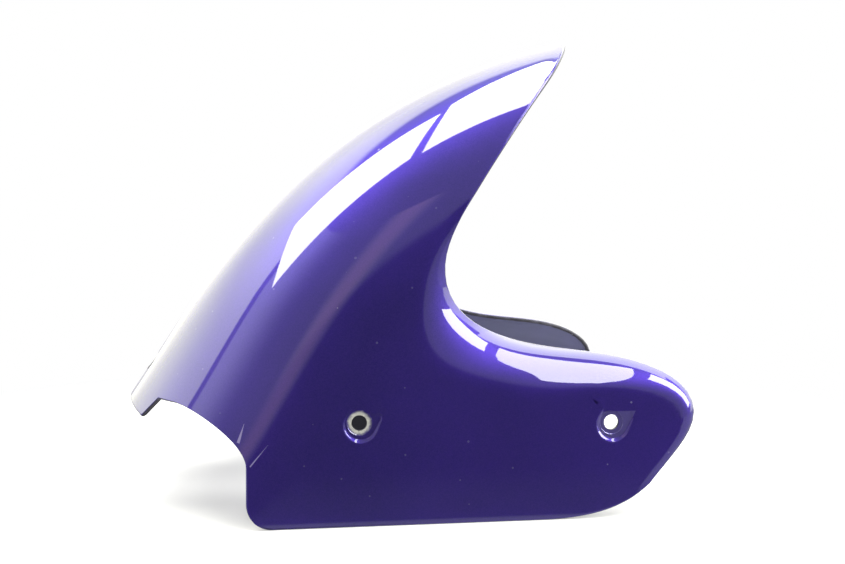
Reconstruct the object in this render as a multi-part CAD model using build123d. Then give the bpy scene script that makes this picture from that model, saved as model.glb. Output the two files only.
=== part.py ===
from build123d import *
import os
from math import cos, degrees, exp, hypot, radians, sin, sqrt, tan

import numpy as np

# Motorcycle front mudguard: one moulded shell with a crown that follows the tyre
# and two wings that lie outside the fork legs, each held by two bolts.
# Millimetres. +X points to the front of the motorcycle and +Z up. The shell stands
# on the lower edges of its wings at Z = 0 and is the same on both sides of Y = 0.
# "Depth" is measured inwards from the crown line towards the wheel axle, and "angle"
# about that axle, from +X upwards. Places in the side view are given as x from the axle
# and z from the lower edges.

# Crown, concentric with the wheel
axle_x = 204.6
axle_z = -101.0
crown_radius = 402.0
half_width = 125.0
wall = 2.8
wall_lean = 5.0
arch_depth = 105.0
arch_fullness = 2.2

# Front edge as (share of the wing's depth, angle): tip, hollow for the fork leg, wing top, nose, wing end
wing_depth = 270.0
front_edge = [
    (0, 102.9), (0.074, 106.7), (0.13, 110.5), (0.185, 114.5), (0.241, 119.1), (0.315, 125.0),
    (0.389, 127.6), (0.519, 126.6), (0.648, 119.1), (0.741, 109.1), (0.889, 102.1), (0.963, 111.7),
    (1, 122.3),
]

# Rolled shoulder along the front edge, as (share of the wing's depth, share of the largest size)
shoulder_width = 36.0
shoulder_drop = 24.0
width_shares = [
    (0, 0.11), (0.22, 0.17), (0.33, 0.42), (0.463, 1), (0.574, 0.86), (0.741, 0.67), (0.852, 0.33),
    (1, 0.11),
]
drop_shares = [
    (0, 0), (0.259, 0.012), (0.37, 0.33), (0.481, 0.79), (0.593, 1), (0.685, 0.83), (0.796, 0.42),
    (0.926, 0.17), (1, 0),
]

# Lip that curls up along the tip's edge and ends at a depth on each side
lip_width = 6.6
lip_rise = 0.7
lip_depth = 30.0

# Flare of the crown towards its rear end
flare_angle = 142.5
flare_span = 15.0
flare_rise = 8.2

# Rear cut: level beside the tab, then a curve down to the upright rear edge of the wing
rear_cut_z = 67.0
rear_cut_start_x = -344.5
rear_cut_pull_x = -331.5
rear_cut_pull_z = 49.0
rear_cut_end_z = 35.0
wing_rear_x = -300.9
wing_rear_radius = 15.0

# Tab left standing on the crown below the rear cut
tab_angle = 156.75
tab_length = 14.0
tab_end_width = 118.0
tab_root_width = 127.0
tab_corner_radius = 1.5
notch_radius = 1.5

# Lower outline of the wings
toe_start_x = -129.5
toe_pull_x = -91.5
toe_rise_x = -76.5
toe_rise_z = 9.0
toe_end_x = -61.5
toe_end_z = 20.0

# Bolt holes in drafted pockets with a level seat
front_bolt_x = -86.6
front_bolt_z = 55.8
rear_bolt_x = -235.9
rear_bolt_z = 59.2
bolt_hole_diameter = 9.0
seat_ring_diameter = 13.6
seat_ring_depth = 0.4
pocket_radius = 9.2
pocket_lead = 9.0
pocket_lead_angle = 62.0
pocket_shift = 0.9
pocket_draft_angle = 45.0
pocket_fade = 9.5

# Slot across the crown above the tab
slot_angle = 153.1
slot_length = 32.0
slot_width = 12.7

# Fineness of the section curves, and how far the blank and the cutters reach past the finished edges
side_steps = 24
front_steps = 18
nudge_share = 0.004
skirt_angle = 162.0
reach = 60.0


def curve_through(knots):
    """Smooth curve through (position, value) knots, as a function giving value and slope."""
    place = np.array([knot[0] for knot in knots], float)
    value = np.array([knot[1] for knot in knots], float)
    gap = np.diff(place)
    rise = np.diff(value) / gap
    last = len(place) - 1
    system = np.eye(last + 1)
    target = np.zeros(last + 1)
    for i in range(1, last):
        system[i, i - 1:i + 2] = gap[i - 1], 2 * (gap[i - 1] + gap[i]), gap[i]
        target[i] = 6 * (rise[i] - rise[i - 1])
    bend = np.linalg.solve(system, target)

    def at(x):
        i = min(max(int(np.searchsorted(place, x)) - 1, 0), last - 1)
        left = x - place[i]
        curl = (bend[i + 1] - bend[i]) / gap[i]
        start = rise[i] - gap[i] * (2 * bend[i] + bend[i + 1]) / 6
        height = value[i] + left * (start + left * (bend[i] / 2 + left * curl / 6))
        slope = start + left * (bend[i] + left * curl / 2)
        return height, slope

    return at


edge_angle = curve_through(front_edge)
width_share = curve_through(width_shares)
drop_share = curve_through(drop_shares)


def wall_half_width(z):
    """Half width of the flat side walls, which lean inwards towards the top."""
    return half_width - z * tan(radians(wall_lean))


def arch_share(depth):
    """Share of the wall's half width that the rounded crown has reached at this depth."""
    left = max(0.0, 1 - depth / arch_depth)
    return sqrt(1 - left ** arch_fullness)


def flare_at(angle):
    """Outward flare of the crown near its rear end."""
    share = (angle - flare_angle) / flare_span
    return flare_rise * max(0.0, share) ** 3


def side_point(depth, angle):
    """Point in the side view at this depth below the crown line."""
    radius = crown_radius + flare_at(angle) - depth
    return axle_x + radius * cos(radians(angle)), axle_z + radius * sin(radians(angle))


def skin_point(across, along):
    """Outer skin: across runs -1 to 1 over the crown, along 0 to 1 from front to rear."""
    share = 2 * across ** 2 / (1 + across ** 2)
    depth = wing_depth * share
    radius = crown_radius - depth
    front, front_slope = edge_angle(share)
    travel = radians(skirt_angle - front) * radius * along ** 2
    angle = front + degrees(travel / radius)
    from_edge = travel / hypot(1, radius * radians(front_slope) / wing_depth)

    # The shoulder is an arc that starts level with the wall and ends at the edge
    size = shoulder_width * width_share(share)[0]
    turn = shoulder_drop * max(0.0, drop_share(share)[0])
    bend = 2 * turn / (size ** 2 + turn ** 2)
    over = max(0.0, size - from_edge)
    inwards = bend * over ** 2 / (1 + sqrt(1 - (bend * over) ** 2))

    # The lip curls up towards the edge and fades out down the sides of the tip
    curl = max(0.0, 1 - from_edge / lip_width) ** 2
    lift = lip_rise * curl * exp(-(depth / lip_depth) ** 6)

    x, z = side_point(depth - lift, angle)
    half = arch_share(depth) * (wall_half_width(z) - inwards)
    return np.array((x, half if across > 0 else -half, z))


def inner_point(across, along):
    """Point of the inner skin, one wall thickness inside the outer skin."""
    step = nudge_share
    place = max(along, step)
    sideways = skin_point(min(1, across + step), place) - skin_point(max(-1, across - step), place)
    backwards = skin_point(across, min(1, along + step)) - skin_point(across, max(0, along - step))
    outwards = np.cross(sideways, backwards)
    return skin_point(across, along) - wall * outwards / np.linalg.norm(outwards)


def section_edge(point, along):
    """Section curve over the full width at one place along the mudguard."""
    places = [i / (2 * side_steps) for i in range(2 * side_steps + 1)]
    points = [Vector(*point(2 * place - 1, along)) for place in places]
    return Edge.make_spline(points, parameters=places)


def skin_face(point):
    """Smooth skin lofted through its section curves, from the front edge to the skirt."""
    sections = [section_edge(point, i / front_steps) for i in range(front_steps + 1)]
    return Shell.make_loft([Wire([edge]) for edge in sections]).face()


def thick_skin():
    """Closed shell of even thickness between the outer and the inner skin."""
    outer = skin_face(skin_point)
    inner = skin_face(inner_point)
    rims = []
    for edge in outer.edges():
        partner = min(inner.edges(), key=lambda other: (other @ 0.5 - edge @ 0.5).length)
        rims.append(Face.make_surface_from_curves(edge, partner))
    return Solid(Shell([outer, inner] + rims))


def crown_plane(angle):
    """Plane on the crown line: local x runs rearwards, local y across and z outwards."""
    x, z = side_point(0, angle)
    outwards = (cos(radians(angle)), 0, sin(radians(angle)))
    rearwards = (-sin(radians(angle)), 0, cos(radians(angle)))
    return Plane(origin=(x, 0, z), x_dir=rearwards, z_dir=outwards)


def side_plane(y):
    """Upright plane at this y, read as the side view with its origin below the axle."""
    return Plane(origin=(axle_x, y, 0), x_dir=(1, 0, 0), z_dir=(0, -1, 0))


def wing_outline():
    """Side view kept by the trimming cut, open above the crown and ahead of the nose."""
    behind_x = -crown_radius - reach
    heel = (wing_rear_x, 0)
    toe_start = (toe_start_x, 0)
    toe_rise = (toe_rise_x, toe_rise_z)
    toe_end = (toe_end_x, toe_end_z)
    ahead_x = reach
    ahead_z = toe_end_z + (ahead_x - toe_end_x) * (toe_end_z - toe_rise_z) / (toe_end_x - toe_rise_x)
    top_z = ahead_z + crown_radius
    cut_start = (rear_cut_start_x, rear_cut_z)
    cut_end = (wing_rear_x, rear_cut_end_z)
    level = Line((behind_x, rear_cut_z), cut_start)
    cut = Bezier(cut_start, (rear_cut_pull_x, rear_cut_z), (wing_rear_x, rear_cut_pull_z), cut_end)
    rear = Polyline(cut_end, heel, toe_start)
    toe = Bezier(toe_start, (toe_pull_x, 0), toe_rise, toe_end)
    ahead = Polyline(toe_end, (ahead_x, ahead_z), (ahead_x, top_z))
    above = Polyline((ahead_x, top_z), (behind_x, top_z), (behind_x, rear_cut_z))
    outline = make_face([level, cut, rear, toe, ahead, above])
    return fillet(outline.vertices().sort_by_distance((*heel, 0))[0], wing_rear_radius)


def tab_outline():
    """Tab laid out on the crown plane at its end, carried on forwards into the crown."""
    end = tab_end_width / 2
    inside = tab_root_width - end
    inside_x = -2 * tab_length
    outline = Polygon((0, -end), (0, end), (inside_x, inside), (inside_x, -inside), align=None)
    return fillet(outline.vertices().sort_by(Axis.X)[-2:], tab_corner_radius)


def trimming_block():
    """Everything inside the outline of the finished moulding."""
    wings = extrude(side_plane(0) * wing_outline(), crown_radius, both=True)
    tab_end = crown_plane(tab_angle)
    block = wings + extrude(tab_end * tab_outline(), reach / 2, both=True)
    notches = []
    for side in (1, -1):
        root = tab_end.from_local_coords(Vector(-tab_length, side * tab_root_width / 2, 0))
        notches.append(block.edges().sort_by(lambda edge: edge.distance_to(root))[0])
    return fillet(notches, notch_radius)


def away_from(point, distance, angle):
    """Point at a distance and a direction from another one in the side view."""
    return point[0] + distance * cos(radians(angle)), point[1] + distance * sin(radians(angle))


def pocket_outline(bolt, extra):
    """Bolt pocket in the side view, which leads upwards from the bolt, grown by an extra distance."""
    low = away_from(bolt, pocket_shift, pocket_lead_angle - 90)
    middle = away_from(low, pocket_lead / 2, pocket_lead_angle)
    width = 2 * (pocket_radius + extra)
    return Pos(*middle) * SlotCenterToCenter(pocket_lead, width, rotation=pocket_lead_angle)


# Moulded shell, trimmed to its outline
shell = thick_skin() & trimming_block()

# Bolt seats: a boss inside the wall, the drafted pocket from outside, the pressed ring and the hole
for bolt in ((front_bolt_x, front_bolt_z), (rear_bolt_x, rear_bolt_z)):
    seat_y = wall_half_width(bolt[1] + pocket_fade)
    pocket_height = half_width - seat_y
    pocket_growth = pocket_height * tan(radians(pocket_draft_angle))
    for side in (1, -1):
        outwards = -side * pocket_height
        lean = (0, side, tan(radians(wall_lean)))
        mid_wall = Plane(origin=(0, side * (half_width - wall / 2), 0), z_dir=lean)
        boss = extrude(side_plane(side * (seat_y - wall)) * pocket_outline(bolt, wall), outwards)
        floor = side_plane(side * seat_y) * pocket_outline(bolt, 0)
        mouth = side_plane(side * half_width) * pocket_outline(bolt, pocket_growth)
        ring = Pos(*bolt) * Circle(seat_ring_diameter / 2)
        ring = extrude(side_plane(side * (seat_y - seat_ring_depth)) * ring, outwards)
        hole = Pos(*bolt) * Circle(bolt_hole_diameter / 2)
        hole = extrude(side_plane(side * seat_y) * hole, reach / 4, both=True)
        shell = shell + split(boss, mid_wall, keep=Keep.BOTTOM)
        shell = shell - loft([floor, mouth], ruled=True) - ring - hole

# Slot through the crown
slot = SlotOverall(slot_length, slot_width, rotation=90)
shell = shell - extrude(crown_plane(slot_angle) * slot, reach / 2, both=True)

mudguard = shell.solid()
mudguard.label = "mudguard"

os.makedirs("parts", exist_ok=True)
export_step(mudguard, "parts/mudguard.step")
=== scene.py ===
from math import atan2, cos, degrees, hypot, radians, sin, sqrt, tan

import bmesh
import bpy
import numpy as np
from mathutils import Matrix, Vector


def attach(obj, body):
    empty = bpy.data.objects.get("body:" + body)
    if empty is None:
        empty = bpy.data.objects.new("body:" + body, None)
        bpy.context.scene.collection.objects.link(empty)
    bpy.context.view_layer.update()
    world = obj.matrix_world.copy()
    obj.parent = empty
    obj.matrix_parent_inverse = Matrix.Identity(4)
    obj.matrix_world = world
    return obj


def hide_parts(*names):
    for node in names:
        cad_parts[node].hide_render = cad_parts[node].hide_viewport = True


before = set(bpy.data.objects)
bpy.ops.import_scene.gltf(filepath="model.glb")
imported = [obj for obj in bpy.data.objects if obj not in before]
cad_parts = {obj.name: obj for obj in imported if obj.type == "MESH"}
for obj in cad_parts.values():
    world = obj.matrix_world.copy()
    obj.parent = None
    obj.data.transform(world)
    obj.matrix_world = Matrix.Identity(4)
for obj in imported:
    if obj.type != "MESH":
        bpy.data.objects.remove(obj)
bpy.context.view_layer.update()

# Sizes of the moulding, in millimetres and degrees, as in the part's source
MM = 0.001
AXLE = (204.6, -101.0)
CROWN_RADIUS = 402.0
HALF_WIDTH = 125.0
WALL = 2.8
WALL_LEAN = 5.0
ARCH_DEPTH = 105.0
ARCH_FULLNESS = 2.2
WING_DEPTH = 270.0
FRONT_EDGE = [
    (0, 102.9), (0.074, 106.7), (0.13, 110.5), (0.185, 114.5), (0.241, 119.1), (0.315, 125.0),
    (0.389, 127.6), (0.519, 126.6), (0.648, 119.1), (0.741, 109.1), (0.889, 102.1), (0.963, 111.7),
    (1, 122.3),
]
SHOULDER_WIDTH = 36.0
SHOULDER_DROP = 24.0
WIDTH_SHARES = [
    (0, 0.11), (0.22, 0.17), (0.33, 0.42), (0.463, 1), (0.574, 0.86), (0.741, 0.67), (0.852, 0.33),
    (1, 0.11),
]
DROP_SHARES = [
    (0, 0), (0.259, 0.012), (0.37, 0.33), (0.481, 0.79), (0.593, 1), (0.685, 0.83), (0.796, 0.42),
    (0.926, 0.17), (1, 0),
]
LIP_WIDTH = 6.6
LIP_RISE = 0.7
LIP_DEPTH = 30.0
FLARE_ANGLE = 142.5
FLARE_SPAN = 15.0
FLARE_RISE = 8.2
TAB_ANGLE = 156.75
TAB_END_WIDTH = 118.0
TAB_ROOT_WIDTH = 127.0
TAB_CORNER_RADIUS = 1.5
NOTCH_RADIUS = 1.5
BOLT_HOLE_DIAMETER = 9.0
SEAT_RING_DIAMETER = 13.6
SEAT_RING_DEPTH = 0.4
POCKET_FADE = 9.5
POCKET_RADIUS = 9.2
POCKET_LEAD_ANGLE = 62.0
POCKET_SHIFT = 0.9
POCKET_FALL_LEAST = 0.25
SLOT_ANGLE = 153.1
SLOT_LENGTH = 32.0
SLOT_WIDTH = 12.7

# Outline of the wings in the side view, as x from the axle and z from the lower edge
REAR_CUT = ((-344.5, 67.0), (-331.5, 67.0), (-300.9, 49.0), (-300.9, 35.0))
HEEL = (-300.9, 0.0)
HEEL_RADIUS = 15.0
TOE_START = (-129.5, 0.0)
TOE_PULL = (-91.5, 0.0)
TOE_RISE = (-76.5, 9.0)
TOE_DEPTH = 266.6
FRONT_BOLT = (118.0, 55.8)
REAR_BOLT = (-31.3, 59.2)

# Rounding and the windows of the net that the pockets and the slot replace
RIM_ROUND = 1.1
RIM_SEGMENTS = 3
SHARP_ANGLE = 38.0
SAME_PLACE = 0.001
PAINTED, RAW, CUT = 0, 1, 2
POCKET_SOFTNESS = 0.45
POCKET_WINDOW = 17.0
POCKET_MARGIN = 3.0
POCKET_BORDER = 1.6
POCKET_RINGS = 16
FAR_BELOW = -3.0
SEAT_RING_FADE = 0.35
BOSS_GROWTH = 0.75
SLOT_WINDOW = (11.5, 22.0)
SLOT_RINGS = 4
SLOT_LEAN_STEP = 0.5

# Steps of the net along the edges of half the skin
ARCH_STEPS = 4001
ARCH_INSET = 14.0
TAB_END_STEPS = 20
TAB_SIDE_STEPS = 6
TAB_CORNER_STEPS = 4
LEVEL_CUT_STEPS = 5
REAR_CURVE_STEPS = 24
REAR_FALL_STEPS = 8
HEEL_STEPS = 16
TOE_STEPS = 30
LOWER_STEPS = 84
FRONT_STEPS = 3000
NEAR_RIM = 0.0045
NEAR_FRONT = 1.5
HALVINGS = 40
TAB_ROUNDS = 6
CUT_ROUNDS = 12

# Finish: colours in linear light, patterns in cells per metre, specks as cells, size and share of cells
FLAKES = 2600.0
FLAKE_SHARE = 0.22
FLAKE_TILT = 0.10
FLAKE_HEIGHT = 0.2
PAINT_DRIFT = 9.0
PAINT_METAL = 0.72
PAINT_PATCHES = 26.0
PAINT_ROUGH = (0.36, 0.44)
COAT_ROUGH = 0.03
COAT_IOR = 1.6
PAINT_DEEP = (0.015, 0.0065, 0.138, 1.0)
PAINT_CLEAR = (0.021, 0.0085, 0.164, 1.0)
PAINT_FLAKE = (0.075, 0.030, 0.31, 1.0)
PAINT_AT_A_SLANT = (0.05, 0.05, 0.06, 1.0)
BARE_DARK = (0.20, 0.20, 0.19, 1.0)
BARE_PALE = (0.46, 0.46, 0.42, 1.0)
BARE_RING = (5.4, 7.7)
BARE_RAGGED = 2.2
BARE_EDGE_CELLS = 420.0
BARE_TONE_CELLS = 900.0
BARE_ROUGHER = 0.25
DUST = (0.50, 0.50, 0.53, 1.0)
SPOTS = (70.0, 0.045, 0.11)
SPOT_SHARE = 0.22
GRIT = (190.0, 0.10, 0.10)
GRIT_SHARE = 0.1
# Painted reflection: a lighter sheen on the lower floor of the front bolt pockets, with its share, edge
# width and top in millimetres
POCKET_PAINTED_SHEEN = (0.36, 0.35, 0.47, 1.0)
POCKET_SHEEN_SHARE = 0.13
POCKET_SHEEN_EDGE = 0.4
POCKET_SHEEN_TOP = (6.6, 7.2)
# Painted highlights: thin light streaks on the near wing for a glint on a crease and a thin reflection,
# each from one side-view point to another with a width in millimetres
GLINT_COLOUR = (0.36, 0.32, 0.50, 1.0)
GLINT_SHARE = 0.55
GLINT_TAPER = 0.15
GLINT_STREAKS = (
    ((-100.3, 48.5), (-96.8, 59.0), 0.8),
    ((-93.7, 35.6), (-83.4, 47.8), 0.35),
)
# Painted shade: the trimmed rim and the bore walls are near black, standing in for the shade along the
# edge and inside the holes
EDGE_PAINTED_SHADE = (0.016, 0.014, 0.026, 1.0)
EDGE_DULL = (0.050, 0.047, 0.070, 1.0)
EDGE_SCUFFS = 120.0
EDGE_PATCHES = 60.0
EDGE_ROUGH = (0.42, 0.6)
EDGE_DUST = (260.0, 0.12, 0.15)
EDGE_DUST_SHARE = 0.25
# Painted shade lower down inside the hollow, fading out between these heights in millimetres
INSIDE_PAINTED_SHADE = (0.012, 0.012, 0.018, 1.0)
INSIDE_SHADE_HEIGHTS = (20.0, 70.0)
INSIDE_SLATE = (0.098, 0.101, 0.186, 1.0)
INSIDE_MIST = (0.112, 0.107, 0.236, 1.0)
INSIDE_MIST_CELLS = 14.0
INSIDE_GRAIN = (0.13, 0.135, 0.17, 1.0)
INSIDE_GRAIN_CELLS = 1400.0
INSIDE_GRAIN_SHARE = 0.25
INSIDE_GRAIN_TILT = 0.25
INSIDE_GRAIN_HEIGHT = 0.3
INSIDE_PATCHES = 40.0
INSIDE_ROUGH = (0.5, 0.66)
INSIDE_SHEEN = 0.2
INSIDE_DUST = (130.0, 0.09, 0.2)
INSIDE_DUST_SHARE = 0.4

# Studio floor, in millimetres: white to the camera, and in the part's gloss pale only near it
FLOOR_SIZE = 6000.0
FLOOR_PALE = (0.82, 0.82, 0.77, 1.0)
FLOOR_GLOW = 0.3
FLOOR_GLOW_SPAN = (250.0, 500.0)
FLOOR_FRONT = (-172.0, -142.0)
FLOOR_DIM_SPAN = (-700.0, -180.0)
FLOOR_DIM = 0.3
NOSE_SLANT = 1.5
NOSE_START = (150.0, 190.0)
NOSE_FRONT = (0.0, 60.0)
ASIDE_START = (420.0, 500.0)
ASIDE_FRONT = (-880.0, -780.0)

# Studio light levels, and the backdrop's zones by direction from the part
WHITE = (1.0, 1.0, 1.0, 1.0)
AMBIENT = 0.35
PANEL = 15.0
PANEL_FRONT = 13.0
OVERHEAD = 6.0
BACKDROP_LEFT = 3.7
BACKDROP_MIDDLE = 3.1
BACKDROP_FAR = 2.4
BACKDROP_LOW = 0.85
BACKDROP_HIGH = 1.4
BACKDROP_RIGHT = 4.0
SIDE_WALL = 1.5
WARM_STRIP = 1.05
ROOM_DARK = 0.19
ROOM_PALE = 0.7
CAMERA_SIDE = (-0.139, -0.987, 0.087)
CAMERA_SIDE_SPAN = (0.82, 0.88)
BACKDROP_EDGE = (0.0, 1.0, -0.5)
BACKDROP_EDGE_SHIFT = 0.195
BACKDROP_START = (0.018, 0.045)
BACKDROP_TOP = (0.74, 0.79)
BACKDROP_TINT = (1.0, 1.0, 0.86, 1.0)
LOW_SPAN = (0.1, 0.3)
HIGH_SPAN = (0.45, 0.7)
LEFT_SPAN = (-0.85, -0.55)
MIDDLE_SPAN = (-0.45, -0.1)
RIGHT_SPAN = (0.1, 0.5)
SIDE_WALL_EDGE = (-0.055, -0.02)
SIDE_WALL_FADE = (-0.55, -0.1)
SIDE_WALL_SPAN = (-0.6, -0.3)
STRIP_ACROSS = (0.848, -0.53, 0.0)
STRIP_EDGE = (0.02, 0.13)
STRIP_FADE = (-0.3, -0.1)
STRIP_PINK = (1.0, 0.75, 0.86, 1.0)
SHEET_RADIUS = 6000.0
SHEET_HEIGHT = 7500.0
SHEET_SEGMENTS = 96

# Soft light panels, as corners on the ceiling or on the wall to the right
CEILING = 1500.0
RIGHT_WALL = 1500.0
REAR_PANEL = ((-1740, -100), (-570, -45), (-350, 560), (-1320, 720))
MIDDLE_PANEL = ((-510, -77), (-70, -120), (230, 966), (-288, 654))
FRONT_PANEL = ((500, -1800), (720, -1800), (840, 60), (540, -10))
BACK_PANEL = ((560, 300), (1400, 20), (1400, 1600), (560, 1600))
SIDE_PANEL = ((-640, 300), (-170, 400), (60, 2200), (-860, 2400))

# Camera at the photograph's place
CAMERA_PLACE = (-88.2, -798.0, 192.4)
CAMERA_TURN = 7.84
CAMERA_PITCH = 4.37
CAMERA_LENS = 51.12
CAMERA_SENSOR = 36.0


def smooth_law(knots):
    """Smooth curve through (place, value) knots, as a function that gives value and slope."""
    place, value = np.array(knots, float).T
    gap = np.diff(place)
    rise = np.diff(value) / gap
    last = len(place) - 1
    system = np.eye(last + 1)
    target = np.zeros(last + 1)
    for i in range(1, last):
        system[i, i - 1:i + 2] = gap[i - 1], 2 * (gap[i - 1] + gap[i]), gap[i]
        target[i] = 6 * (rise[i] - rise[i - 1])
    bend = np.linalg.solve(system, target)

    def at(x):
        i = np.clip(np.searchsorted(place, x) - 1, 0, last - 1)
        left = x - place[i]
        curl = (bend[i + 1] - bend[i]) / gap[i]
        start = rise[i] - gap[i] * (2 * bend[i] + bend[i + 1]) / 6
        height = value[i] + left * (start + left * (bend[i] / 2 + left * curl / 6))
        return height, start + left * (bend[i] + left * curl / 2)

    return at


edge_angle = smooth_law(FRONT_EDGE)
width_share = smooth_law(WIDTH_SHARES)
drop_share = smooth_law(DROP_SHARES)


def wall_half_width(z):
    return HALF_WIDTH - z * tan(radians(WALL_LEAN))


def arch_share(depth):
    left = np.clip(1 - depth / ARCH_DEPTH, 0.0, 1.0)
    return np.sqrt(1 - left ** ARCH_FULLNESS)


def flare_at(angle):
    return FLARE_RISE * np.maximum(0.0, (angle - FLARE_ANGLE) / FLARE_SPAN) ** 3


def front_angle(depth):
    return edge_angle(depth / WING_DEPTH)[0]


def skin(depth, angle):
    """Outer skin at a depth below the crown line and an angle about the axle, in millimetres."""
    radius = CROWN_RADIUS - depth
    share = depth / WING_DEPTH
    front, front_slope = edge_angle(share)
    travel = np.radians(angle - front) * radius
    from_edge = travel / np.hypot(1, radius * np.radians(front_slope) / WING_DEPTH)
    size = SHOULDER_WIDTH * width_share(share)[0]
    turn = SHOULDER_DROP * np.maximum(0.0, drop_share(share)[0])
    bend = 2 * turn / (size ** 2 + turn ** 2)
    over = np.clip(size - from_edge, 0.0, size)
    inwards = bend * over ** 2 / (1 + np.sqrt(np.maximum(0.0, 1 - (bend * over) ** 2)))
    curl = np.maximum(0.0, 1 - from_edge / LIP_WIDTH) ** 2
    lift = LIP_RISE * curl * np.exp(-(depth / LIP_DEPTH) ** 6)
    reach = radius + lift + flare_at(angle)
    x = AXLE[0] + reach * np.cos(np.radians(angle))
    z = AXLE[1] + reach * np.sin(np.radians(angle))
    y = arch_share(depth) * (wall_half_width(z) - inwards)
    return np.stack((x, -y, z), axis=-1)


def lengths_along(points):
    """Length of a run of points from its start to each of them."""
    return np.concatenate(([0.0], np.cumsum(np.linalg.norm(np.diff(points, axis=0), axis=1))))


# The skin laid flat: the arch is unrolled, so that a net of even cells can be drawn on it
arch_depths = np.linspace(0.0, 1.0, ARCH_STEPS) ** 2 * ARCH_DEPTH
arch_curve = np.stack((arch_depths, arch_share(arch_depths) * (HALF_WIDTH - ARCH_INSET)), axis=-1)
arch_lengths = lengths_along(arch_curve)
unroll = arch_lengths[-1] - ARCH_DEPTH


def flat_radius(depth):
    inside = CROWN_RADIUS + unroll - np.interp(depth, arch_depths, arch_lengths)
    return np.where(depth < ARCH_DEPTH, inside, CROWN_RADIUS - depth)


def depth_of_flat(radius):
    inside = np.interp(CROWN_RADIUS + unroll - radius, arch_lengths, arch_depths)
    return np.where(radius > CROWN_RADIUS - ARCH_DEPTH, inside, CROWN_RADIUS - radius)


def flat_point(depth, angle):
    radius = flat_radius(depth)
    return np.stack((radius * np.cos(np.radians(angle)), radius * np.sin(np.radians(angle))), axis=-1)


def flat_of_side(points):
    """Side-view points, as x from the axle and z, laid on the flat net."""
    points = np.array(points, float) - (0.0, AXLE[1])
    angle = np.degrees(np.arctan2(points[:, 1], points[:, 0]))
    depth = CROWN_RADIUS + flare_at(angle) - np.hypot(points[:, 0], points[:, 1])
    return flat_point(depth, angle)


def half_width_at(depth, angle):
    return -skin(np.array(depth), np.array(angle))[1]


def depth_at_half_width(half, angle):
    low, high = 0.0, ARCH_DEPTH
    for step in range(HALVINGS):
        middle = (low + high) / 2
        if half_width_at(middle, angle) < half:
            low = middle
        else:
            high = middle
    return low


def line_points(start, end, count):
    return [tuple(np.array(start) + (np.array(end) - start) * i / count) for i in range(count + 1)]


def rounded_corner(before, corner, after, radius, count):
    """Points of the round between two straight runs, from the first run to the second."""
    corner = np.array(corner, float)
    back = np.array(before, float) - corner
    on = np.array(after, float) - corner
    back /= np.linalg.norm(back)
    on /= np.linalg.norm(on)
    half = np.arccos(np.clip(back @ on, -1, 1)) / 2
    setback = radius / tan(half)
    middle = (back + on) / np.linalg.norm(back + on)
    centre = corner + middle * radius / sin(half)
    start = corner + back * setback - centre
    end = corner + on * setback - centre
    first = atan2(start[1], start[0])
    sweep = atan2(end[1], end[0]) - first
    sweep = (sweep + np.pi) % (2 * np.pi) - np.pi
    turns = [first + sweep * i / count for i in range(count + 1)]
    return [tuple(centre + radius * np.array((cos(turn), sin(turn)))) for turn in turns]


def bezier_points(pulls, count):
    """Even steps along a cubic curve from its four pull points."""
    start, first, second, end = (np.array(pull, float) for pull in pulls)
    t = np.linspace(0, 1, count + 1)[:, None]
    left = 1 - t
    curve = left ** 3 * start + 3 * t * left ** 2 * first + 3 * t ** 2 * left * second + t ** 3 * end
    return [tuple(point) for point in curve]


def place_on_tab(along, half):
    """Depth and angle of a point given on the tab, rearwards from its end and across."""
    depth, angle = 0.0, TAB_ANGLE
    for step in range(TAB_ROUNDS):
        angle = TAB_ANGLE + degrees(np.arcsin(along / (CROWN_RADIUS - depth + flare_at(angle))))
        depth = depth_at_half_width(half, angle)
    return depth, angle


def level_cut(half):
    """The place on the tab's plane where the level rear cut has reached this half width."""
    height = REAR_CUT[0][1] - AXLE[1]
    depth, angle = 0.0, TAB_ANGLE
    for step in range(CUT_ROUNDS):
        reach = CROWN_RADIUS - depth + flare_at(angle)
        angle = 180 - degrees(np.arcsin(height / reach))
        depth = depth_at_half_width(half, angle)
    return (reach * sin(radians(angle - TAB_ANGLE)), half)


def rear_edge():
    """Rear edge from the crown line round the tab and down to the middle of the wing's rear corner."""
    end = TAB_END_WIDTH / 2
    root = TAB_ROOT_WIDTH / 2
    notch = level_cut(root)
    beside = level_cut(root + NOTCH_RADIUS * 4)
    round_end = rounded_corner((0, 0), (0, end), notch, TAB_CORNER_RADIUS, TAB_CORNER_STEPS)
    round_notch = rounded_corner((0, end), notch, beside, NOTCH_RADIUS, TAB_CORNER_STEPS)
    tab = line_points((0.0, 0.0), round_end[0], TAB_END_STEPS) + round_end[1:]
    tab += line_points(round_end[-1], round_notch[0], TAB_SIDE_STEPS)[1:] + round_notch[1:]
    places = np.array([place_on_tab(*point) for point in tab])
    depth, angle = places[-1]
    reach = CROWN_RADIUS - depth + flare_at(angle)
    level_start = (reach * cos(radians(angle)), REAR_CUT[0][1])
    heel = heel_round()
    side = line_points(level_start, REAR_CUT[0], LEVEL_CUT_STEPS)[1:]
    side += bezier_points(REAR_CUT, REAR_CURVE_STEPS)[1:]
    side += line_points(REAR_CUT[-1], heel[0], REAR_FALL_STEPS)[1:] + heel[1:len(heel) // 2 + 1]
    return np.concatenate((flat_point(places[:, 0], places[:, 1]), flat_of_side(side)))


def heel_round():
    return rounded_corner(REAR_CUT[-1], HEEL, TOE_START, HEEL_RADIUS, HEEL_STEPS)


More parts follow.
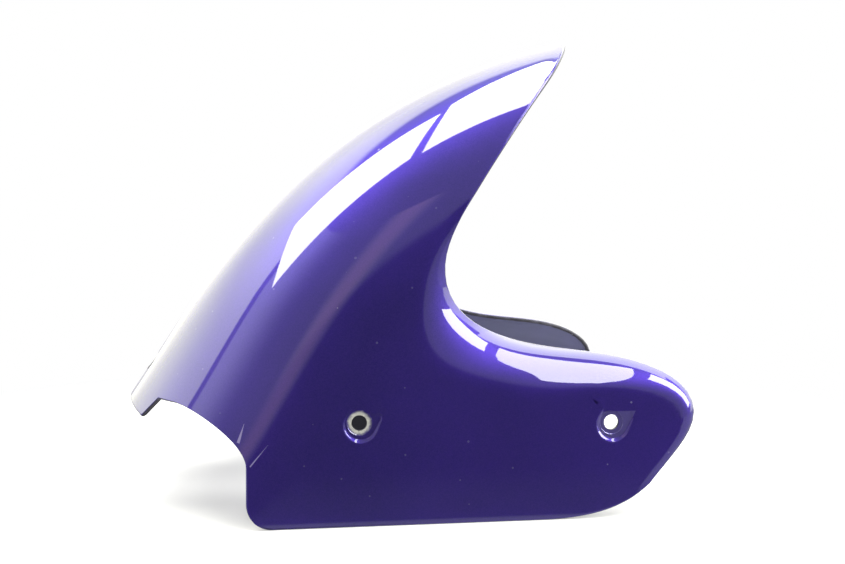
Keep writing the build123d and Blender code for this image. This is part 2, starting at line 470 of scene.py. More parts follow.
def lower_edge():
    """Lower edge from the wing's end back to the middle of its rear corner."""
    toe_angle = radians(front_angle(np.array(TOE_DEPTH)))
    radius = CROWN_RADIUS - TOE_DEPTH
    toe_end = (radius * cos(toe_angle), AXLE[1] + radius * sin(toe_angle))
    toe = bezier_points((toe_end, TOE_RISE, TOE_PULL, TOE_START), TOE_STEPS)
    heel = heel_round()
    level = line_points(TOE_START, heel[-1], LOWER_STEPS)[1:]
    return flat_of_side(toe + level + heel[len(heel) // 2:-1][::-1])


def even_run(points, count):
    """The same run of points with its spacing evened out."""
    lengths = lengths_along(points)
    places = np.linspace(0, lengths[-1], count + 1)
    return np.stack([np.interp(places, lengths, points[:, k]) for k in (0, 1)], axis=-1)


def skin_net():
    """Points of half the outer skin on an even net between its four edges."""
    rear = rear_edge()
    lower = lower_edge()
    across = len(rear) - 1
    along = len(lower) - 1
    depths = np.linspace(0, TOE_DEPTH, FRONT_STEPS)
    front = even_run(flat_point(depths, front_angle(depths)), across)
    angles = np.linspace(front_angle(np.array(0.0)), TAB_ANGLE, along + 1)
    crown = flat_point(np.zeros(along + 1), angles)
    a = np.sort(np.append(np.linspace(0, 1, across + 1), 1 - NEAR_RIM))
    extra = (NEAR_RIM, NEAR_FRONT / along, 1 - NEAR_RIM)
    b = np.sort(np.append(np.linspace(0, 1, along + 1), extra))

    def on(run, share):
        place = share * (len(run) - 1)
        return np.stack([np.interp(place, np.arange(len(run)), run[:, k]) for k in (0, 1)], axis=-1)

    down = a[:, None, None]
    back = b[None, :, None]
    sides = (1 - down) * on(crown, b)[None] + down * on(lower, b)[None]
    ends = (1 - back) * on(front, a)[:, None] + back * on(rear, a)[:, None]
    corners = ((1 - down) * (1 - back) * crown[0] + (1 - down) * back * crown[-1]
               + down * (1 - back) * lower[0] + down * back * lower[-1])
    flat = sides + ends - corners
    radius = np.hypot(flat[..., 0], flat[..., 1])
    angle = np.degrees(np.arctan2(flat[..., 1], flat[..., 0]))
    return skin(np.maximum(0.0, depth_of_flat(radius)), angle)


def round_step(x, softness):
    """Zero below 0 and x above it, with a rounded change."""
    return (x + np.hypot(x, softness)) / 2


# The pocket leads upwards from the bolt, and its middle line is shifted aside
pocket_lead = np.array((cos(radians(POCKET_LEAD_ANGLE)), sin(radians(POCKET_LEAD_ANGLE))))
pocket_aside = np.array((pocket_lead[1], -pocket_lead[0]))


def pocket_reach(direction):
    """Distance from the bolt to the edge of the pocket's floor in one direction of the side view."""
    middle = pocket_aside * POCKET_SHIFT
    along, across = direction @ pocket_lead, direction @ pocket_aside
    straight = 1e9
    if abs(across) > 1e-6:
        straight = (POCKET_SHIFT + np.copysign(POCKET_RADIUS, across)) / across
    dot = direction @ middle
    round_end = dot + sqrt(dot ** 2 + POCKET_RADIUS ** 2 - POCKET_SHIFT ** 2)
    return straight if straight * along > 0 else round_end


def pocket_inset(x, z, bolt, grow, deepen):
    """How far the pressed pocket lies inside the wall, measured across the mudguard."""
    rel = np.array((x - bolt[0], z - bolt[1])) - pocket_aside * POCKET_SHIFT
    off = rel - pocket_lead * max(0.0, rel @ pocket_lead)
    away = hypot(*off) - POCKET_RADIUS - grow
    level = (bolt[1] + POCKET_FADE - z) * tan(radians(WALL_LEAN))
    pressed = level - round_step(away, POCKET_SOFTNESS)
    inset = round_step(pressed, POCKET_SOFTNESS / 2) - round_step(FAR_BELOW, POCKET_SOFTNESS / 2)
    past_ring = hypot(x - bolt[0], z - bolt[1]) - SEAT_RING_DIAMETER / 2
    ring = deepen * (1 - np.clip(past_ring / SEAT_RING_FADE, 0, 1))
    return max(0.0, inset) + ring


def border_edges(faces):
    """Edges round the outside of some faces."""
    edges = {e for f in faces for e in f.edges}
    return [e for e in edges if sum(f in faces for f in e.link_faces) == 1]


def ring_patch(bm, faces, matrix, rings, place):
    """Puts rings of quads round an opening in the place of some faces, and gives the inmost loop."""
    loop = border_edges(faces)
    bmesh.ops.delete(bm, geom=list(faces), context="FACES")
    start = {v: v.co.copy() for e in loop for v in e.verts}
    for ring in range(1, rings + 1):
        radius = BOLT_HOLE_DIAMETER * MM * (1 - ring / rings / 2)
        circle = bmesh.ops.create_circle(bm, segments=len(loop), radius=radius, matrix=matrix)["verts"]
        next_loop = list({e for v in circle for e in v.link_edges})
        spokes = bmesh.ops.bridge_loops(bm, edges=loop + next_loop)["edges"]
        inmost = set(circle)
        for e in spokes:
            v, w = e.verts if e.verts[1] in inmost else reversed(e.verts)
            start[w] = start[v]
        for v in circle:
            v.co = place(start[v], ring)
        loop = next_loop
    return loop


def bolt_seat(bm, faces, bolt, side, inside):
    """Presses a bolt's pocket into the outer skin, or its boss into the inner skin."""
    grow = WALL * BOSS_GROWTH if inside else 0.0
    deepen = 0.0 if inside else SEAT_RING_DEPTH
    back = WALL / cos(radians(WALL_LEAN)) if inside else 0.0
    middle = Vector((bolt[0], side * (wall_half_width(bolt[1]) - back), bolt[1])) * MM
    matrix = Matrix.Translation(middle) @ Matrix.Rotation(radians(90), 4, "X")
    hole = BOLT_HOLE_DIAMETER / 2
    seat = SEAT_RING_DIAMETER / 2

    def place(edge_point, ring):
        direction = np.array((edge_point.x / MM - bolt[0], edge_point.z / MM - bolt[1]))
        length = hypot(*direction)
        direction /= length
        floor = min(pocket_reach(direction) + grow, length - POCKET_MARGIN)
        fall = (POCKET_FADE - direction[1] * floor) * tan(radians(WALL_LEAN))
        fall = max(POCKET_FALL_LEAST, fall)
        outside = floor + fall
        border = outside + POCKET_BORDER
        # From the window to the hole, closest where the surface turns: lip, floor, pressed ring, hole
        radii = [length, max(border, (length + outside) / 2)]
        radii += [outside + 0.7, outside + 0.25, outside - 0.1, floor + fall * 0.5, floor + 0.15]
        radii += [floor - 0.25, floor - 0.7, (floor + seat) / 2 + 0.3]
        radii += [seat + 0.4, seat + 0.2, seat, seat - 0.3]
        radii += [(seat + hole) / 2, hole + 0.3, hole]
        if border > length:
            radii[1:7] = np.linspace(length, floor + 0.15, 7)[1:]
        x, z = np.array(bolt) + direction * radii[ring]
        y = wall_half_width(z) - back - pocket_inset(x, z, bolt, grow, deepen)
        return Vector((x, side * y, z)) * MM

    return ring_patch(bm, faces, matrix, POCKET_RINGS, place)


def slot_reach(direction):
    """Distance from the slot's middle to its edge in one direction along and across the crown."""
    half = (SLOT_LENGTH - SLOT_WIDTH) / 2
    along, across = abs(direction[0]), abs(direction[1])
    if along > 1e-9 and SLOT_WIDTH / 2 * across / along < half:
        return SLOT_WIDTH / 2 / along
    return half * across + sqrt((SLOT_WIDTH / 2) ** 2 - (half * along) ** 2)


def crown_slot(bm, faces, inside):
    """Opens the slot on the crown line through one of the two skins."""
    turn = radians(SLOT_ANGLE)
    outwards = Vector((cos(turn), 0, sin(turn)))
    reach = CROWN_RADIUS + flare_at(SLOT_ANGLE)
    middle = Vector((AXLE[0], 0, AXLE[1])) + outwards * (reach - (WALL if inside else 0))
    matrix = Matrix.Translation(middle * MM) @ outwards.to_track_quat("Z", "Y").to_matrix().to_4x4()

    def place(edge_point, ring):
        from_axle = np.array((edge_point.x / MM - AXLE[0], edge_point.z / MM - AXLE[1]))
        along = (atan2(from_axle[1], from_axle[0]) - turn) * reach
        direction = np.array((along, edge_point.y / MM))
        length = hypot(*direction)
        direction /= length
        opening = slot_reach(direction)
        radius = (length, (length + opening) / 2, opening + 0.6, opening + 0.25, opening)[ring]
        angle = SLOT_ANGLE + degrees(direction[0] * radius / reach)
        across = direction[1] * radius

        def crown_point(more_angle, more_across):
            half = across + more_across
            depth = depth_at_half_width(abs(half), angle + more_angle)
            return Vector(skin(np.array(depth), np.array(angle + more_angle)) * (1, -np.sign(half), 1))

        point = crown_point(0, 0)
        if inside:
            step = SLOT_LEAN_STEP
            backwards = crown_point(step, 0) - crown_point(-step, 0)
            sideways = crown_point(0, step) - crown_point(0, -step)
            lean = backwards.cross(sideways)
            lean.normalize()
            point -= lean * WALL * (1 if lean.dot(outwards) > 0 else -1)
        return point * MM

    return ring_patch(bm, faces, matrix, SLOT_RINGS, place)


def window_holds(face, bolt, side):
    middle = face.calc_center_median() / MM
    return middle.y * side > 0 and hypot(middle.x - bolt[0], middle.z - bolt[1]) < POCKET_WINDOW


def slot_window_holds(face):
    middle = face.calc_center_median() / MM
    angle = atan2(middle.z - AXLE[1], middle.x - AXLE[0])
    along = (angle - radians(SLOT_ANGLE)) * CROWN_RADIUS
    return hypot(along / SLOT_WINDOW[0], middle.y / SLOT_WINDOW[1]) < 1


def walled_net():
    """Mesh of both skins with a square rim between them, and the faces of the three."""
    near = skin_net()
    far = near[:0:-1] * (1, -1, 1)
    net = np.concatenate((far, near)) * MM
    across, along = net.shape[0] - 1, net.shape[1] - 1
    bm = bmesh.new()
    bmesh.ops.create_grid(bm, x_segments=across, y_segments=along, size=1.0)
    home = bm.verts.layers.float_vector.new("home")
    for v in bm.verts:
        i = round((v.co.x + 1) / 2 * across)
        j = round((v.co.y + 1) / 2 * along)
        v.co = net[i, j]
        v[home] = v.co
    bmesh.ops.recalc_face_normals(bm, faces=bm.faces[:])
    top = max(bm.faces, key=lambda f: f.calc_center_median().z)
    if top.normal.z < 0:
        bmesh.ops.reverse_faces(bm, faces=bm.faces[:])
    bmesh.ops.solidify(bm, geom=bm.faces[:], thickness=WALL * MM)
    bm.normal_update()

    outer_verts = {v for v in bm.verts if (v.co - v[home]).length < SAME_PLACE * MM}
    outer, inner, rim = set(), set(), set()
    for f in bm.faces:
        count = sum(v in outer_verts for v in f.verts)
        (outer if count == len(f.verts) else inner if count == 0 else rim).add(f)
    return bm, outer, inner, rim


def moulded_shell():
    """The whole moulding: rounded rim, painted outside, bolt seats and crown slot."""
    bm, outer, inner, rim = walled_net()
    bmesh.ops.bevel(bm, geom=border_edges(rim), offset=RIM_ROUND * MM, offset_type="OFFSET",
                    affect="EDGES", segments=RIM_SEGMENTS, profile=0.5, material=-1, clamp_overlap=False)
    outer = {f for f in outer if f.is_valid}
    inner = {f for f in inner if f.is_valid}
    painted = set(outer)
    for ring in range(RIM_SEGMENTS):
        painted |= {g for f in painted for e in f.edges for g in e.link_faces}
    for f in bm.faces:
        f.material_index = PAINTED if f in painted else RAW if f in inner else CUT

    def opening(holds, cut):
        """Cuts one opening through both skins and joins them round it."""
        loops = []
        for skin_faces, finish in ((outer, PAINTED), (inner, RAW)):
            before = set(bm.faces)
            loops += cut({f for f in skin_faces if f.is_valid and holds(f)}, finish == RAW)
            for f in set(bm.faces) - before:
                f.material_index = finish
        for f in bmesh.ops.bridge_loops(bm, edges=loops)["faces"]:
            f.material_index = CUT

    for bolt in (FRONT_BOLT, REAR_BOLT):
        for side in (-1, 1):
            opening(lambda f: window_holds(f, bolt, side),
                    lambda faces, inside: bolt_seat(bm, faces, bolt, side, inside))
    opening(slot_window_holds, lambda faces, inside: crown_slot(bm, faces, inside))

    bmesh.ops.recalc_face_normals(bm, faces=bm.faces[:])
    for f in bm.faces:
        f.smooth = True
    mesh = bpy.data.meshes.new("mudguard_shell")
    bm.to_mesh(mesh)
    bm.free()
    mesh.set_sharp_from_angle(angle=radians(SHARP_ANGLE))
    obj = bpy.data.objects.new("mudguard_shell", mesh)
    bpy.context.scene.collection.objects.link(obj)
    return obj


# Finishes

def new_material(name):
    material = bpy.data.materials.new(name)
    material.use_nodes = True
    material.node_tree.nodes.clear()
    return material, material.node_tree


def add(tree, kind, settings=None, **inputs):
    """Node of one kind with its settings and its inputs, each a value or another node's output."""
    node = tree.nodes.new(kind)
    for name, value in (settings or {}).items():
        setattr(node, name, value)
    for name, value in inputs.items():
        numbered = name[0] == "_"
        socket = node.inputs[int(name[1:]) if numbered else name.replace("_", " ")]
        if isinstance(value, bpy.types.NodeSocket):
            tree.links.new(value, socket)
        else:
            socket.default_value = value
    return node


def maths(tree, operation, first, second=0.0, third=0.0):
    node = add(tree, "ShaderNodeMath", {"operation": operation}, _0=first, _1=second, _2=third)
    return node.outputs[0]


def product(tree, first, second):
    return maths(tree, "MULTIPLY", first, second)


def larger(tree, first, second):
    return maths(tree, "MAXIMUM", first, second)


def distance(tree, first, second):
    """Length of the straight line whose two legs are given."""
    squares = maths(tree, "ADD", maths(tree, "POWER", first, 2.0), maths(tree, "POWER", second, 2.0))
    return maths(tree, "SQRT", squares)


def ramp(tree, value, low, high, to_low=0.0, to_high=1.0):
    """Smooth change from one value to another while the input goes from low to high."""
    node = add(tree, "ShaderNodeMapRange", {"interpolation_type": "SMOOTHSTEP"}, Value=value)
    limits = (("From Min", low), ("From Max", high), ("To Min", to_low), ("To Max", to_high))
    for name, number in limits:
        node.inputs[name].default_value = number
    return node.outputs["Result"]


def mix_colour(tree, share, first, second):
    node = tree.nodes.new("ShaderNodeMix")
    node.data_type = "RGBA"
    for socket, value in ((node.inputs[0], share), (node.inputs[6], first), (node.inputs[7], second)):
        if isinstance(value, bpy.types.NodeSocket):
            tree.links.new(value, socket)
        else:
            socket.default_value = value
    return node.outputs[2]


def noise(tree, where, scale, detail=2.0, roughness=0.5):
    node = add(tree, "ShaderNodeTexNoise", None, Vector=where, Scale=scale, Detail=detail,
               Roughness=roughness)
    return node.outputs["Fac"]


def surface(tree, shader):
    """Sends a shader to the material's output."""
    out = tree.nodes.new("ShaderNodeOutputMaterial")
    tree.links.new(shader.outputs[0], out.inputs["Surface"])


def specks_group():
    """Sparse round specks: a mask that is 1 on a speck, from the size and share of the cells."""
    group = bpy.data.node_groups.new("dust_specks", "ShaderNodeTree")
    face = group.interface
    face.new_socket("Vector", in_out="INPUT", socket_type="NodeSocketVector")
    for name, value in (("Cells", 60.0), ("Size", 0.05), ("Share", 0.2)):
        face.new_socket(name, in_out="INPUT", socket_type="NodeSocketFloat").default_value = value
    face.new_socket("Mask", in_out="OUTPUT", socket_type="NodeSocketFloat")
    given = group.nodes.new("NodeGroupInput").outputs
    cells = add(group, "ShaderNodeTexVoronoi", None, Vector=given["Vector"], Scale=given["Cells"])
    chosen = add(group, "ShaderNodeSeparateColor", None, Color=cells.outputs["Color"]).outputs
    size = maths(group, "MULTIPLY", given["Size"], maths(group, "ADD", chosen[1], 0.4))
    near = maths(group, "LESS_THAN", cells.outputs["Distance"], size)
    mask = maths(group, "MULTIPLY", near, maths(group, "LESS_THAN", chosen[0], given["Share"]))
    out = group.nodes.new("NodeGroupOutput")
    group.links.new(mask, out.inputs["Mask"])
    return group


def place_specks(tree, group, where, specks):
    """Mask of the specks of one sort, given as cells per metre, size and share of the cells."""
    node = tree.nodes.new("ShaderNodeGroup")
    node.node_tree = group
    tree.links.new(where, node.inputs["Vector"])
    for name, value in zip(("Cells", "Size", "Share"), specks):
        node.inputs[name].default_value = value
    return node.outputs["Mask"]


def side_view_axes(tree, place, start, along):
    """Steps along and across a direction of the side view, and upwards, from a start in millimetres."""
    x = maths(tree, "SUBTRACT", place[0], start[0] * MM)
    z = maths(tree, "SUBTRACT", place[2], start[1] * MM)
    lengthwise = maths(tree, "ADD", product(tree, x, along[0]), product(tree, z, along[1]))
    crosswise = maths(tree, "SUBTRACT", product(tree, x, along[1]), product(tree, z, along[0]))
    return lengthwise, crosswise, z


def pocket_painted_sheen(tree, place):
    """Mask of a painted reflection on the floor of the front bolt pockets, up to where they run out into
    the wall.
    """
    middle = np.array(FRONT_BOLT) + pocket_aside * POCKET_SHIFT
    along, across, z = side_view_axes(tree, place, middle, pocket_lead)
    away = distance(tree, across, maths(tree, "MINIMUM", along, 0.0))
    inside = ramp(tree, away, (POCKET_RADIUS - POCKET_SHEEN_EDGE) * MM, POCKET_RADIUS * MM, 1.0, 0.0)
    return product(tree, inside, ramp(tree, z, POCKET_SHEEN_TOP[0] * MM, POCKET_SHEEN_TOP[1] * MM, 1.0, 0.0))


def painted_glints(tree, place):
    """Mask of thin painted highlights on the near wing, streaks of glint and reflection each from one
    side-view point to another.
    """
    mask = 0.0
    for start, end, width in GLINT_STREAKS:
        length = hypot(end[0] - start[0], end[1] - start[1])
        direction = ((end[0] - start[0]) / length, (end[1] - start[1]) / length)
        along, off = side_view_axes(tree, place, start, direction)[:2]
        reach = product(tree, ramp(tree, along, 0.0, length * MM, 1.0, GLINT_TAPER), width * MM)
        thin = maths(tree, "LESS_THAN", maths(tree, "ABSOLUTE", off), reach)
        started = maths(tree, "GREATER_THAN", along, 0.0)
        within = product(tree, started, maths(tree, "LESS_THAN", along, length * MM))
        mask = larger(tree, mask, product(tree, thin, within))
    return product(tree, mask, maths(tree, "LESS_THAN", place[1], 0.0))


def violet_flake_paint(specks):
    """Dark violet flake base coat under a clear coat, with dust, bare rings rubbed through at the rear
    bolt seats, painted highlight streaks and a painted reflection in the front pockets.
    """
    material, tree = new_material("violet_flake_paint")
    where = add(tree, "ShaderNodeTexCoord").outputs["Object"]
    flakes = add(tree, "ShaderNodeTexVoronoi", None, Vector=where, Scale=FLAKES)
    flake = add(tree, "ShaderNodeSeparateColor", None, Color=flakes.outputs["Color"]).outputs
    drift = ramp(tree, noise(tree, where, PAINT_DRIFT, 3.0), 0.35, 0.65)
    base = mix_colour(tree, drift, PAINT_DEEP, PAINT_CLEAR)
    base = mix_colour(tree, product(tree, flake[0], FLAKE_SHARE), base, PAINT_FLAKE)

    spots = product(tree, place_specks(tree, specks, where, SPOTS), SPOT_SHARE)
    grit = product(tree, place_specks(tree, specks, where, GRIT), GRIT_SHARE)
    dust = larger(tree, spots, grit)

    place = add(tree, "ShaderNodeSeparateXYZ", None, Vector=where).outputs
    aside = maths(tree, "SUBTRACT", place[0], REAR_BOLT[0] * MM)
    above = maths(tree, "SUBTRACT", place[2], REAR_BOLT[1] * MM)
    ragged = maths(tree, "SUBTRACT", noise(tree, where, BARE_EDGE_CELLS, 3.0), 0.5)
    ragged = product(tree, ragged, BARE_RAGGED * MM)
    from_bolt = maths(tree, "ADD", distance(tree, aside, above), ragged)
    bare = ramp(tree, from_bolt, BARE_RING[0] * MM, BARE_RING[1] * MM, 1.0, 0.0)
    bare_tone = mix_colour(tree, noise(tree, where, BARE_TONE_CELLS, 4.0), BARE_DARK, BARE_PALE)

    # Painted reflection: the front pocket floors lightened for the light they reflect
    pocket_sheen_mask = product(tree, pocket_painted_sheen(tree, place), POCKET_SHEEN_SHARE)
    # Painted highlights: light streaks of glint and reflection on the near wing
    glint_mask = product(tree, painted_glints(tree, place), GLINT_SHARE)

    colour = mix_colour(tree, dust, base, DUST)
    colour = mix_colour(tree, pocket_sheen_mask, colour, POCKET_PAINTED_SHEEN)
    colour = mix_colour(tree, glint_mask, colour, GLINT_COLOUR)
    colour = mix_colour(tree, bare, colour, bare_tone)
    marks = larger(tree, larger(tree, bare, dust), larger(tree, pocket_sheen_mask, glint_mask))
    cover = maths(tree, "SUBTRACT", 1.0, marks)
    patchy = ramp(tree, noise(tree, where, PAINT_PATCHES, 4.0), 0.3, 0.7, *PAINT_ROUGH)
    rough = maths(tree, "ADD", patchy, product(tree, bare, BARE_ROUGHER))
    tilt = add(tree, "ShaderNodeBump", None, Strength=FLAKE_TILT, Distance=FLAKE_HEIGHT * MM,
               Height=flake[1])

    shader = add(tree, "ShaderNodeBsdfPrincipled", None, Base_Color=colour, Roughness=rough,
                 Metallic=product(tree, cover, PAINT_METAL), Normal=tilt.outputs[0],
                 Specular_Tint=PAINT_AT_A_SLANT, Coat_Weight=cover, Coat_Roughness=COAT_ROUGH,
                 Coat_IOR=COAT_IOR)
    surface(tree, shader)
    return material


def raw_inside(specks):
    """Unpolished inner face: dull slate moulding with a mist of the outer colour and dust, darkened
    lower down by painted shade in the hollow.
    """
    material, tree = new_material("raw_inside")
    where = add(tree, "ShaderNodeTexCoord").outputs["Object"]
    mist = ramp(tree, noise(tree, where, INSIDE_MIST_CELLS, 5.0, 0.6), 0.35, 0.7)
    colour = mix_colour(tree, mist, INSIDE_SLATE, INSIDE_MIST)
    grain = noise(tree, where, INSIDE_GRAIN_CELLS, 2.0)
    colour = mix_colour(tree, product(tree, grain, INSIDE_GRAIN_SHARE), colour, INSIDE_GRAIN)
    height = add(tree, "ShaderNodeSeparateXYZ", None, Vector=where).outputs[2]
    # Painted shade: the inner face turns near black lower down, where the hollow lies in shade
    out_of_shade = ramp(tree, height, INSIDE_SHADE_HEIGHTS[0] * MM, INSIDE_SHADE_HEIGHTS[1] * MM)
    colour = mix_colour(tree, out_of_shade, INSIDE_PAINTED_SHADE, colour)
    dust = product(tree, place_specks(tree, specks, where, INSIDE_DUST), INSIDE_DUST_SHARE)
    colour = mix_colour(tree, dust, colour, DUST)
    rough = ramp(tree, noise(tree, where, INSIDE_PATCHES, 4.0), 0.3, 0.7, *INSIDE_ROUGH)
    skin_grain = add(tree, "ShaderNodeBump", None, Strength=INSIDE_GRAIN_TILT,
                     Distance=INSIDE_GRAIN_HEIGHT * MM, Height=grain)
    shader = add(tree, "ShaderNodeBsdfPrincipled", None, Base_Color=colour, Roughness=rough,
                 Specular_IOR_Level=INSIDE_SHEEN, Normal=skin_grain.outputs[0])
    surface(tree, shader)
    return material


def cut_edge(specks):
    """Trimmed rim and bores: painted shade, near black along the rim and inside the bores, dulled and
    scuffed in places.
    """
    material, tree = new_material("cut_edge")
    where = add(tree, "ShaderNodeTexCoord").outputs["Object"]
    scuff = ramp(tree, noise(tree, where, EDGE_SCUFFS, 4.0, 0.6), 0.45, 0.7)
    # Painted shade: near black where the rim and the bores lie in shade, with lighter scuffs
    colour = mix_colour(tree, scuff, EDGE_PAINTED_SHADE, EDGE_DULL)
    dust = product(tree, place_specks(tree, specks, where, EDGE_DUST), EDGE_DUST_SHARE)
    colour = mix_colour(tree, dust, colour, DUST)
    rough = ramp(tree, noise(tree, where, EDGE_PATCHES, 3.0), 0.3, 0.7, *EDGE_ROUGH)
    shader = add(tree, "ShaderNodeBsdfPrincipled", None, Base_Color=colour, Roughness=rough)
    surface(tree, shader)
    return material


shell = moulded_shell()
dust_specks = specks_group()
shell.data.materials.append(violet_flake_paint(dust_specks))
shell.data.materials.append(raw_inside(dust_specks))
shell.data.materials.append(cut_edge(dust_specks))
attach(shell, "root")
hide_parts("mudguard")


# Studio: pale floor, white surroundings, soft light panels

def staged_piece(name, bm):
    mesh = bpy.data.meshes.new(name)
    bm.to_mesh(mesh)
    bm.free()
    obj = bpy.data.objects.new(name, mesh)
    bpy.context.scene.collection.objects.link(obj)
    return obj


def flat_piece(name, corners):
    """Flat card through four corners given in millimetres."""
    bm = bmesh.new()
    bmesh.ops.create_grid(bm, x_segments=1, y_segments=1, size=1.0)
    order = sorted(bm.verts, key=lambda v: atan2(v.co.y, v.co.x))
    for v, corner in zip(order, corners):
        v.co = Vector(corner) * MM
    return staged_piece(name, bm)


def floor_sheet():
    """Pale sheet: white to the camera but for the shadow, and only near the part in its gloss."""
    size = FLOOR_SIZE
    floor = flat_piece("floor", ((-size, -size, 0), (size, -size, 0), (size, size, 0), (-size, size, 0)))
    material, tree = new_material("floor_white")
    where = add(tree, "ShaderNodeTexCoord").outputs["Object"]
    place = add(tree, "ShaderNodeSeparateXYZ", None, Vector=where).outputs
    away = add(tree, "ShaderNodeVectorMath", {"operation": "LENGTH"}, _0=where).outputs["Value"]
    path = tree.nodes.new("ShaderNodeLightPath").outputs
    mirrored = larger(tree, path["Is Glossy Ray"], path["Is Transmission Ray"])

    def past(value, span, to_low=0.0, to_high=1.0):
        return ramp(tree, value, span[0] * MM, span[1] * MM, to_low, to_high)

    forward = maths(tree, "MULTIPLY_ADD", place[0], NOSE_SLANT, place[1])
    by_nose = product(tree, past(place[0], NOSE_START), past(forward, NOSE_FRONT))
    aside = product(tree, past(place[0], ASIDE_START), past(place[1], ASIDE_FRONT))
    dim = past(place[1], FLOOR_DIM_SPAN, ROOM_DARK, FLOOR_DIM)
    sheet = larger(tree, past(place[1], FLOOR_FRONT), dim)
    sheet = larger(tree, sheet, larger(tree, by_nose, aside))
    level = add(tree, "ShaderNodeMix", None, _0=mirrored, _2=1.0, _3=sheet).outputs[0]
    lit = add(tree, "ShaderNodeBsdfDiffuse", None, Color=FLOOR_PALE)
    glow = add(tree, "ShaderNodeEmission", None, Color=WHITE, Strength=level)
    seen = product(tree, path["Is Camera Ray"], past(away, FLOOR_GLOW_SPAN, FLOOR_GLOW, 1.0))
    share = larger(tree, seen, mirrored)
    mix = add(tree, "ShaderNodeMixShader", None, _0=share, _1=lit.outputs[0], _2=glow.outputs[0])
    surface(tree, mix)
    floor.data.materials.append(material)


def light_panel(name, corners, radiance):
    """Soft light panel: it shows in gloss and lights the part, but stays out of the picture."""
    panel = flat_piece(name, corners)
    panel.visible_camera = False
    material, tree = new_material(name)
    glow = add(tree, "ShaderNodeEmission", None, Color=WHITE, Strength=radiance)
    surface(tree, glow)
    panel.data.materials.append(material)


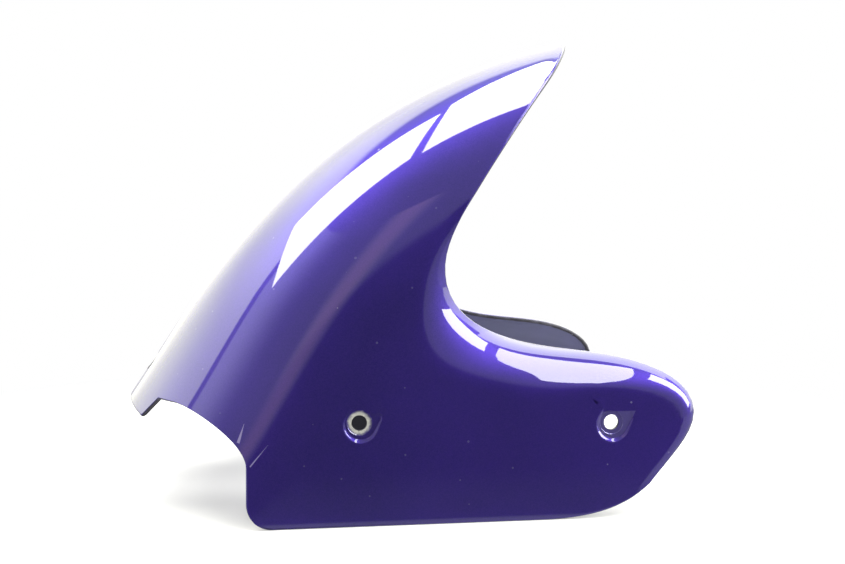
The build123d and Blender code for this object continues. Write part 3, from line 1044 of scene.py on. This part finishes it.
def backdrop_sheet():
    """Curved sheet all round that shows in gloss only: bright behind, dark on the camera's side."""
    bm = bmesh.new()
    bmesh.ops.create_grid(bm, x_segments=SHEET_SEGMENTS, y_segments=1, size=1.0)
    for v in bm.verts:
        turn = radians(180) * v.co.x
        height = SHEET_HEIGHT * (v.co.y + 1) / 2
        v.co = Vector((SHEET_RADIUS * sin(turn), SHEET_RADIUS * cos(turn), height)) * MM
    sheet = staged_piece("backdrop", bm)
    sheet.visible_camera = False
    sheet.visible_diffuse = False
    sheet.visible_shadow = False

    material, tree = new_material("backdrop")
    place = add(tree, "ShaderNodeTexCoord").outputs["Object"]
    where = add(tree, "ShaderNodeVectorMath", {"operation": "NORMALIZE"}, _0=place).outputs["Vector"]
    right, back, up = add(tree, "ShaderNodeSeparateXYZ", None, Vector=where).outputs

    def along(direction):
        dot = add(tree, "ShaderNodeVectorMath", {"operation": "DOT_PRODUCT"}, _0=where, _1=direction)
        return dot.outputs["Value"]

    def total(first, second):
        return maths(tree, "ADD", first, second)

    past_edge = total(along(BACKDROP_EDGE), BACKDROP_EDGE_SHIFT)
    room = ramp(tree, along(CAMERA_SIDE), *CAMERA_SIDE_SPAN, ROOM_PALE, ROOM_DARK)
    beside = ramp(tree, past_edge, *SIDE_WALL_EDGE, 1.0, 0.0)
    beside = product(tree, beside, ramp(tree, past_edge, *SIDE_WALL_FADE))
    beside = product(tree, beside, ramp(tree, right, *SIDE_WALL_SPAN, SIDE_WALL, 0.0))
    strip = ramp(tree, maths(tree, "ABSOLUTE", along(STRIP_ACROSS)), *STRIP_EDGE, 1.0, 0.0)
    strip = product(tree, strip, ramp(tree, back, *STRIP_FADE, 1.0, 0.0))
    room = total(total(room, beside), product(tree, strip, WARM_STRIP))

    to_left = ramp(tree, right, *LEFT_SPAN, BACKDROP_LEFT - BACKDROP_MIDDLE, 0.0)
    to_middle = ramp(tree, right, *MIDDLE_SPAN, BACKDROP_MIDDLE, BACKDROP_FAR)
    to_right = ramp(tree, right, *RIGHT_SPAN, 0.0, BACKDROP_RIGHT - BACKDROP_FAR)
    white = total(total(to_left, to_middle), to_right)
    white = product(tree, white, ramp(tree, up, *LOW_SPAN, BACKDROP_LOW, 1.0))
    white = product(tree, white, ramp(tree, up, *HIGH_SPAN, 1.0, BACKDROP_HIGH))
    behind = ramp(tree, past_edge, *BACKDROP_START)
    behind = product(tree, behind, ramp(tree, up, *BACKDROP_TOP, 1.0, 0.0))

    level = add(tree, "ShaderNodeMix", None, _0=behind, _2=room, _3=white).outputs[0]
    tint = mix_colour(tree, strip, WHITE, STRIP_PINK)
    tint = mix_colour(tree, behind, tint, BACKDROP_TINT)
    glow = add(tree, "ShaderNodeEmission", None, Color=tint, Strength=level)
    surface(tree, glow)
    sheet.data.materials.append(material)


def surroundings():
    """White to the camera, a plain even light on the part, and a dim ceiling in its gloss."""
    world = bpy.data.worlds.new("studio")
    bpy.context.scene.world = world
    world.use_nodes = True
    tree = world.node_tree
    tree.nodes.clear()
    path = tree.nodes.new("ShaderNodeLightPath").outputs
    mirrored = larger(tree, path["Is Glossy Ray"], path["Is Transmission Ray"])
    level = add(tree, "ShaderNodeMix", None, _0=mirrored, _2=AMBIENT, _3=ROOM_PALE).outputs[0]
    level = larger(tree, level, path["Is Camera Ray"])
    glow = add(tree, "ShaderNodeBackground", None, Color=WHITE, Strength=level)
    out = tree.nodes.new("ShaderNodeOutputWorld")
    tree.links.new(glow.outputs[0], out.inputs["Surface"])


floor_sheet()
backdrop_sheet()
surroundings()
light_panel("panel_rear", [(x, y, CEILING) for x, y in REAR_PANEL], PANEL)
light_panel("panel_middle", [(x, y, CEILING) for x, y in MIDDLE_PANEL], PANEL)
light_panel("panel_front", [(x, y, CEILING) for x, y in FRONT_PANEL], PANEL_FRONT)
light_panel("panel_back", [(x, y, CEILING) for x, y in BACK_PANEL], OVERHEAD)
light_panel("panel_side", [(RIGHT_WALL, y, z) for y, z in SIDE_PANEL], PANEL)

camera_data = bpy.data.cameras.new("camera")
camera_data.lens = CAMERA_LENS
camera_data.sensor_width = CAMERA_SENSOR
camera = bpy.data.objects.new("camera", camera_data)
camera.location = Vector(CAMERA_PLACE) * MM
camera.rotation_euler = (radians(90 - CAMERA_PITCH), 0.0, radians(-CAMERA_TURN))
bpy.context.scene.collection.objects.link(camera)
bpy.context.scene.camera = camera
bpy.context.scene.view_settings.view_transform = "Standard"
